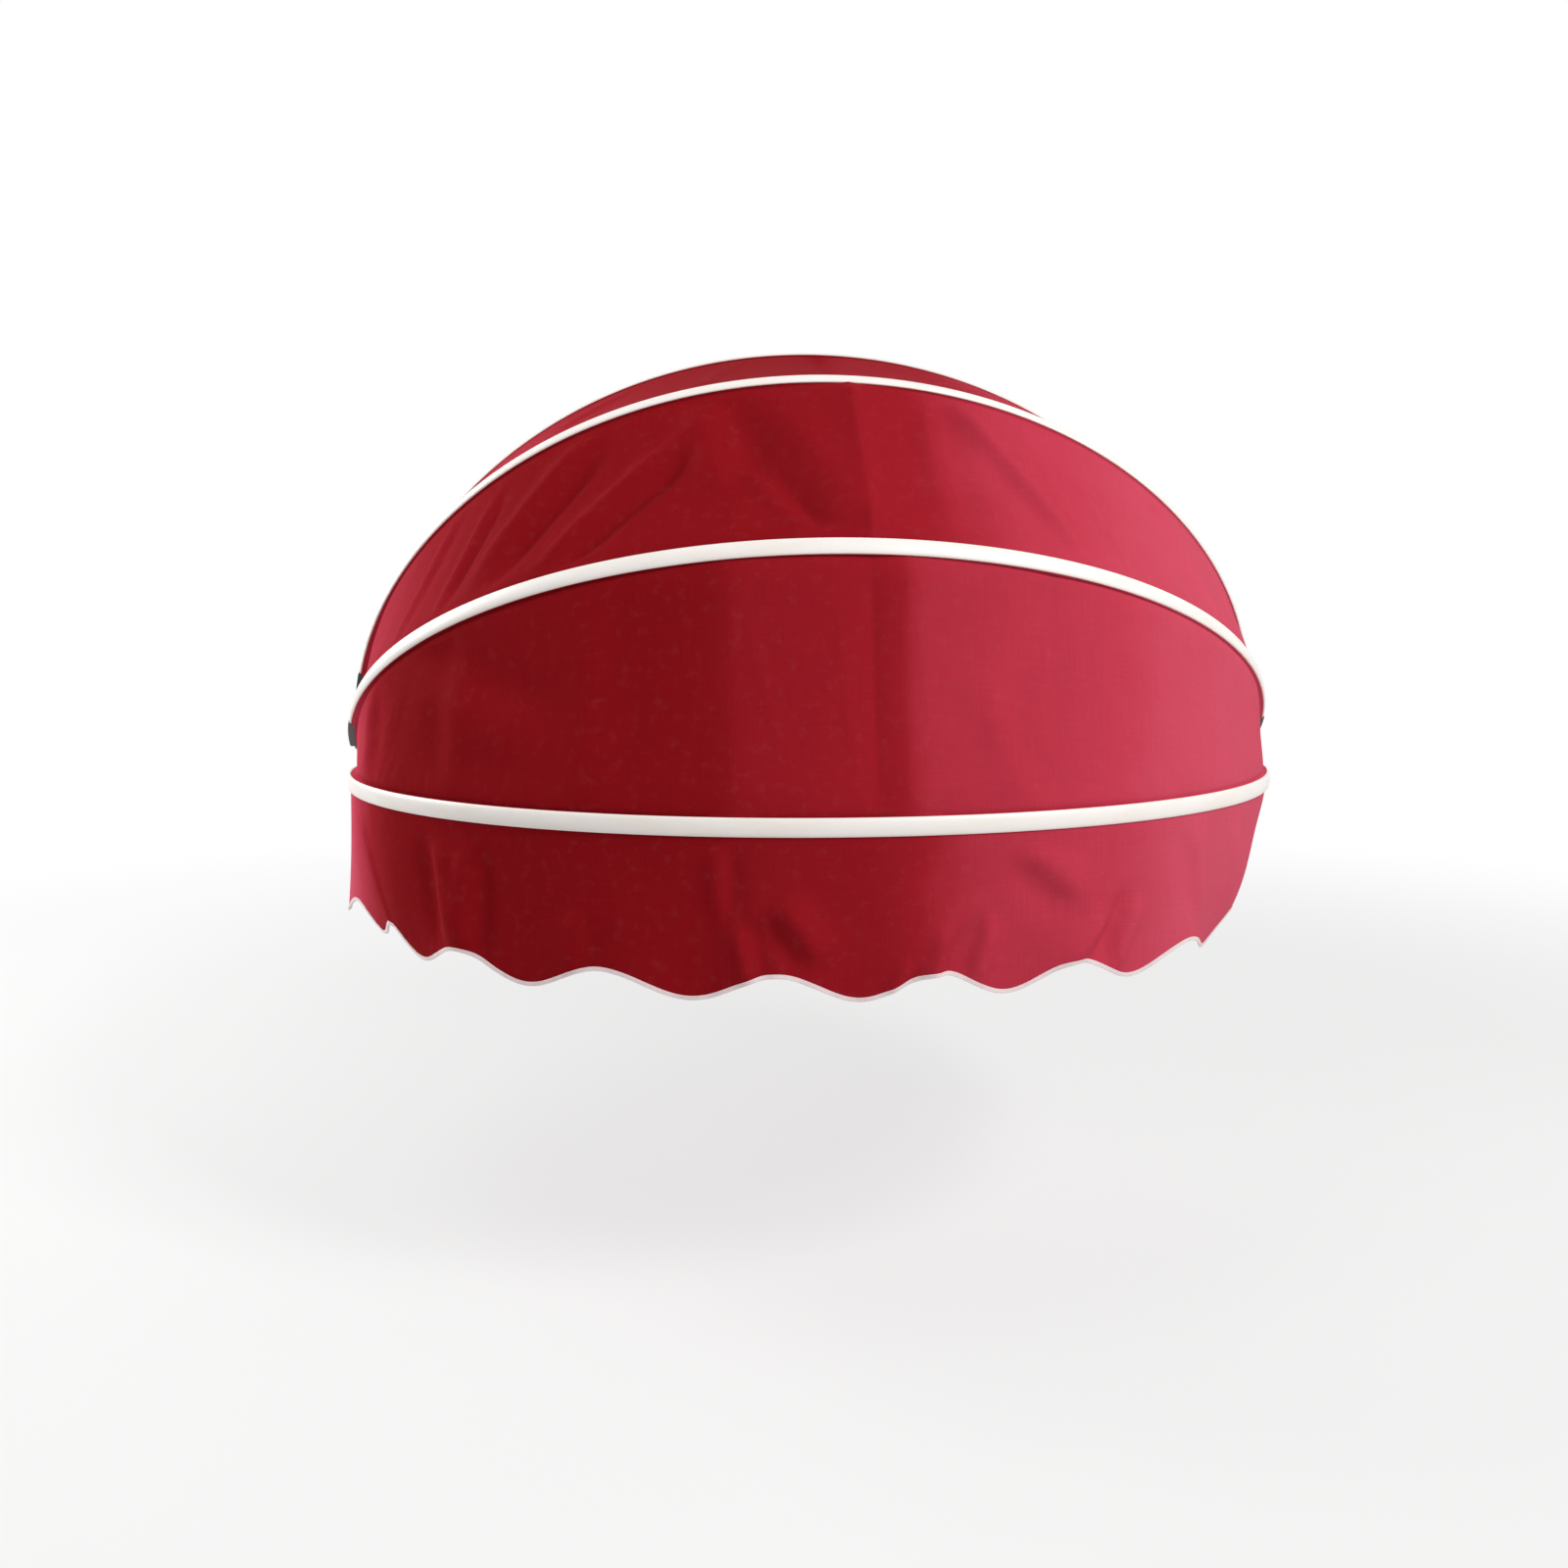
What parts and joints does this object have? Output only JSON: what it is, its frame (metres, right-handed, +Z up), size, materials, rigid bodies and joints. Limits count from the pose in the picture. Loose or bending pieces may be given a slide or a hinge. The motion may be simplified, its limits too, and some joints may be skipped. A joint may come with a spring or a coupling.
{
  "type": "dome awning",
  "caption": "Folding dome awning: fabric gores and a scalloped valance stretched over half-ellipse hoops that share one hinge axis and fold up flat against the wall.",
  "frame": {"origin": "middle of the back face of the crown wall clip, on the wall plane", "axes": "+X along the wall to the right as seen from outside, +Y into the wall, +Z up; the awning stands out towards -Y"},
  "size_m": [1.4874, 0.6931, 0.9097],
  "materials": {
    "red_canvas": "dark red woven acrylic canvas, matt",
    "white_pvc": "extruded white PVC cover strip, satin",
    "pink_white_binding": "woven edge binding, pinkish white",
    "anodised_aluminium": "extruded and bent, natural anodised",
    "black_nylon": "moulded black nylon, fine texture",
    "white_nylon": "natural white nylon washers",
    "white_powder_coat": "white powder coat on bent steel",
    "zinc_plated_steel": "bright zinc plating"
  },
  "bodies": {
    "frame": {"bracket_screw_lower_left": "zinc_plated_steel", "bracket_screw_lower_right": "zinc_plated_steel", "bracket_screw_upper_left": "zinc_plated_steel", "bracket_screw_upper_right": "zinc_plated_steel", "clip_screw_crown_a": "zinc_plated_steel", "clip_screw_crown_b": "zinc_plated_steel", "clip_screw_left_a": "zinc_plated_steel", "clip_screw_left_b": "zinc_plated_steel", "clip_screw_right_a": "zinc_plated_steel", "clip_screw_right_b": "zinc_plated_steel", "gore_upper": "red_canvas", "hinge_bolt_left": "zinc_plated_steel", "hinge_bolt_right": "zinc_plated_steel", "hinge_nut_left": "zinc_plated_steel", "hinge_nut_right": "zinc_plated_steel", "hinge_washer_left": "zinc_plated_steel", "hinge_washer_right": "zinc_plated_steel", "profile_screw_crown": "zinc_plated_steel", "profile_screw_left": "zinc_plated_steel", "profile_screw_right": "zinc_plated_steel", "spacer_1_left": "white_nylon", "spacer_1_right": "white_nylon", "spacer_2_left": "white_nylon", "spacer_2_right": "white_nylon", "spacer_3_left": "white_nylon", "spacer_3_right": "white_nylon", "wall_bracket_left": "white_powder_coat", "wall_bracket_right": "white_powder_coat", "wall_clip_crown": "white_powder_coat", "wall_clip_left": "white_powder_coat", "wall_clip_right": "white_powder_coat", "wall_hoop_cover_strip": "white_pvc", "wall_hoop_end_left": "black_nylon", "wall_hoop_end_right": "black_nylon", "wall_hoop_profile": "anodised_aluminium", "wall_hoop_rivet_left": "zinc_plated_steel", "wall_hoop_rivet_right": "zinc_plated_steel"},
    "upper_hoop": {"gore_middle": "red_canvas", "upper_hoop_cover_strip": "white_pvc", "upper_hoop_end_left": "black_nylon", "upper_hoop_end_right": "black_nylon", "upper_hoop_profile": "anodised_aluminium", "upper_hoop_rivet_left": "zinc_plated_steel", "upper_hoop_rivet_right": "zinc_plated_steel"},
    "middle_hoop": {"gore_lower": "red_canvas", "middle_hoop_cover_strip": "white_pvc", "middle_hoop_end_left": "black_nylon", "middle_hoop_end_right": "black_nylon", "middle_hoop_profile": "anodised_aluminium", "middle_hoop_rivet_left": "zinc_plated_steel", "middle_hoop_rivet_right": "zinc_plated_steel"},
    "front_hoop": {"front_hoop_cover_strip": "white_pvc", "front_hoop_end_left": "black_nylon", "front_hoop_end_right": "black_nylon", "front_hoop_profile": "anodised_aluminium", "front_hoop_rivet_left": "zinc_plated_steel", "front_hoop_rivet_right": "zinc_plated_steel", "valance": "red_canvas", "valance_binding": "pink_white_binding"}
  },
  "joints": [
    {"name": "upper_hoop_fold", "type": "hinge", "parent": "frame", "child": "upper_hoop", "pos_m": [0, -0.054, -0.62082], "axis": [-1, 0, 0], "range_deg": [0, 30], "deforming": ["gore_upper"]},
    {"name": "middle_hoop_fold", "type": "hinge", "parent": "upper_hoop", "child": "middle_hoop", "pos_m": [0, -0.054, -0.62082], "axis": [-1, 0, 0], "range_deg": [0, 30], "deforming": ["gore_middle"]},
    {"name": "front_hoop_fold", "type": "hinge", "parent": "middle_hoop", "child": "front_hoop", "pos_m": [0, -0.054, -0.62082], "axis": [-1, 0, 0], "range_deg": [0, 30], "deforming": ["gore_lower", "valance", "valance_binding"]}
  ],
  "couplings": [
    {"joint": "middle_hoop_fold", "follows": "upper_hoop_fold", "ratio": 1},
    {"joint": "front_hoop_fold", "follows": "upper_hoop_fold", "ratio": 1}
  ]
}
